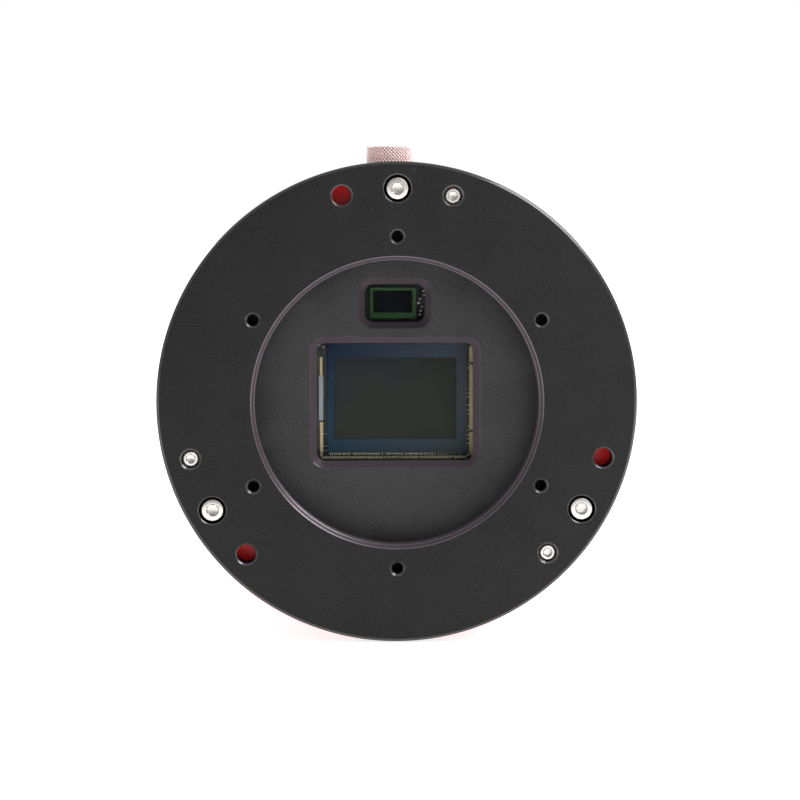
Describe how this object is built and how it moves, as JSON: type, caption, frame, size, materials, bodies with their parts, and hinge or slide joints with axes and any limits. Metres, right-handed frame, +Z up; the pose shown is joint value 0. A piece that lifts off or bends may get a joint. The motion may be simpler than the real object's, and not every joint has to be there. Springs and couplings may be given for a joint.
{
  "type": "cooled astronomy camera",
  "caption": "Round cooled camera for a telescope, with an adjustable tilt plate, imaging and guide sensor windows, cooling fan, antenna socket and ports on the back.",
  "frame": {"origin": "centre of the tilt plate's front face, on the optical axis, where the telescope's adapter seats", "axes": "-Y out of the front face towards the telescope, +Y to the back cover, +Z up to the antenna, +X to the right seen from the front"},
  "size_m": [0.09, 0.1, 0.094],
  "materials": {
    "plate_black": "satin black anodised, fine grain",
    "steel": "turned stainless steel",
    "body_red": "satin red anodised",
    "lid_grey": "bead blasted and anodised dark grey",
    "seal_rubber": "matte",
    "window_glass": "clear, anti-reflection coated",
    "sensor_ceramic": "dark ceramic with gold pads",
    "silicon": "dark coated silicon with a slight sheen",
    "green_substrate": "green solder resist",
    "board": "green solder resist",
    "copper": "bare copper",
    "cooler_ceramic": "white alumina",
    "foam": "closed cell foam",
    "desiccant": "pressed desiccant",
    "cover_black": "satin black anodised",
    "bare_aluminium": "machined, unpainted",
    "flex": "amber flexible circuit",
    "lead_jacket": "matte jacket",
    "gold": "gold plated brass",
    "knurled_steel": "fine diamond knurl",
    "fan_plastic": "moulded black",
    "port_plastic": "moulded black",
    "port_shell": "plated sheet steel",
    "light_pipe": "clear moulded light pipe",
    "button_plastic": "moulded pale grey"
  },
  "bodies": {
    "root": {"front_housing": "body_red", "chamber_lid": "lid_grey", "lid_seal": "seal_rubber", "main_window": "window_glass", "guide_window": "window_glass", "main_window_seal": "seal_rubber", "guide_window_seal": "seal_rubber", "main_sensor_package": "sensor_ceramic", "main_sensor_die": "silicon", "guide_sensor_package": "green_substrate", "guide_sensor_die": "silicon", "guide_board": "board", "sensor_board": "board", "cold_finger": "copper", "cooler": "cooler_ceramic", "insulation": "foam", "desiccant_tablet": "desiccant", "desiccant_plug": "cover_black", "desiccant_seal": "seal_rubber", "heat_sink": "bare_aluminium", "housing_screw_1": "steel", "housing_screw_2": "steel", "housing_screw_3": "steel", "body_shell": "body_red", "camera_board": "board", "computer_board": "board", "port_board": "board", "sensor_ribbon": "flex", "cooler_lead": "lead_jacket", "fan_lead": "lead_jacket", "antenna_lead": "lead_jacket", "antenna_socket": "gold", "antenna_nut": "gold", "fan_frame": "fan_plastic", "fan_grille": "cover_black", "rear_cover": "cover_black", "rear_screw_1": "steel", "rear_screw_2": "steel", "rear_screw_3": "steel", "rear_screw_4": "steel", "dc_input_jack": "port_plastic", "dc_output_jack_1": "port_plastic", "dc_output_jack_2": "port_plastic", "dc_output_jack_3": "port_plastic", "dc_output_jack_4": "port_plastic", "usb_c_port": "port_shell", "usb_a_port_1": "port_shell", "usb_a_port_2": "port_shell", "status_light": "light_pipe"},
    "tilt_plate": {"tilt_plate": "plate_black"},
    "pull_screw_1": {"pull_screw_1": "steel"},
    "pull_screw_2": {"pull_screw_2": "steel"},
    "pull_screw_3": {"pull_screw_3": "steel"},
    "push_screw_1": {"push_screw_1": "steel"},
    "push_screw_2": {"push_screw_2": "steel"},
    "push_screw_3": {"push_screw_3": "steel"},
    "fan_rotor": {"fan_rotor": "fan_plastic"},
    "reset_button": {"reset_button": "button_plastic"},
    "cap_gasket": {"cap_gasket": "seal_rubber"},
    "antenna_cap": {"antenna_cap": "knurled_steel"}
  },
  "joints": [
    {"name": "plate_tilt", "type": "hinge", "parent": "root", "child": "tilt_plate", "pos_m": [0, 0.0024, 0], "axis": [1, 0, 0], "range_deg": [-0.5, 0.5]},
    {"name": "pull_screw_1_turn", "type": "hinge", "parent": "tilt_plate", "child": "pull_screw_1", "pos_m": [0, 0.0024, 0.04], "axis": [0, -1, 0], "range_deg": [-360, 360]},
    {"name": "pull_screw_2_turn", "type": "hinge", "parent": "tilt_plate", "child": "pull_screw_2", "pos_m": [-0.03464, 0.0024, -0.02], "axis": [0, -1, 0], "range_deg": [-360, 360]},
    {"name": "pull_screw_3_turn", "type": "hinge", "parent": "tilt_plate", "child": "pull_screw_3", "pos_m": [0.03464, 0.0024, -0.02], "axis": [0, -1, 0], "range_deg": [-360, 360]},
    {"name": "push_screw_1_turn", "type": "hinge", "parent": "tilt_plate", "child": "push_screw_1", "pos_m": [0.01035, 0.0024, 0.03864], "axis": [0, -1, 0], "range_deg": [-360, 360]},
    {"name": "push_screw_2_turn", "type": "hinge", "parent": "tilt_plate", "child": "push_screw_2", "pos_m": [-0.03864, 0.0024, -0.01035], "axis": [0, -1, 0], "range_deg": [-360, 360]},
    {"name": "push_screw_3_turn", "type": "hinge", "parent": "tilt_plate", "child": "push_screw_3", "pos_m": [0.02828, 0.0024, -0.02828], "axis": [0, -1, 0], "range_deg": [-360, 360]},
    {"name": "fan_spin", "type": "hinge", "parent": "root", "child": "fan_rotor", "pos_m": [0, 0.0883, 0.008], "axis": [0, 1, 0], "continuous": true},
    {"name": "reset_press", "type": "slide", "parent": "root", "child": "reset_button", "axis": [0, -1, 0], "range_m": [0, 0.0005], "stiffness_N_per_m": 1000},
    {"name": "cap_travel", "type": "slide", "parent": "root", "child": "cap_gasket", "axis": [0, 0, 1], "range_m": [0, 0.00353]},
    {"name": "cap_turn", "type": "hinge", "parent": "cap_gasket", "child": "antenna_cap", "pos_m": [0, 0.04, 0.044], "axis": [0, 0, 1], "range_deg": [0, 1800]}
  ],
  "couplings": [
    {"joint": "cap_turn", "follows": "cap_travel", "rad_per_m": 8905.3}
  ]
}
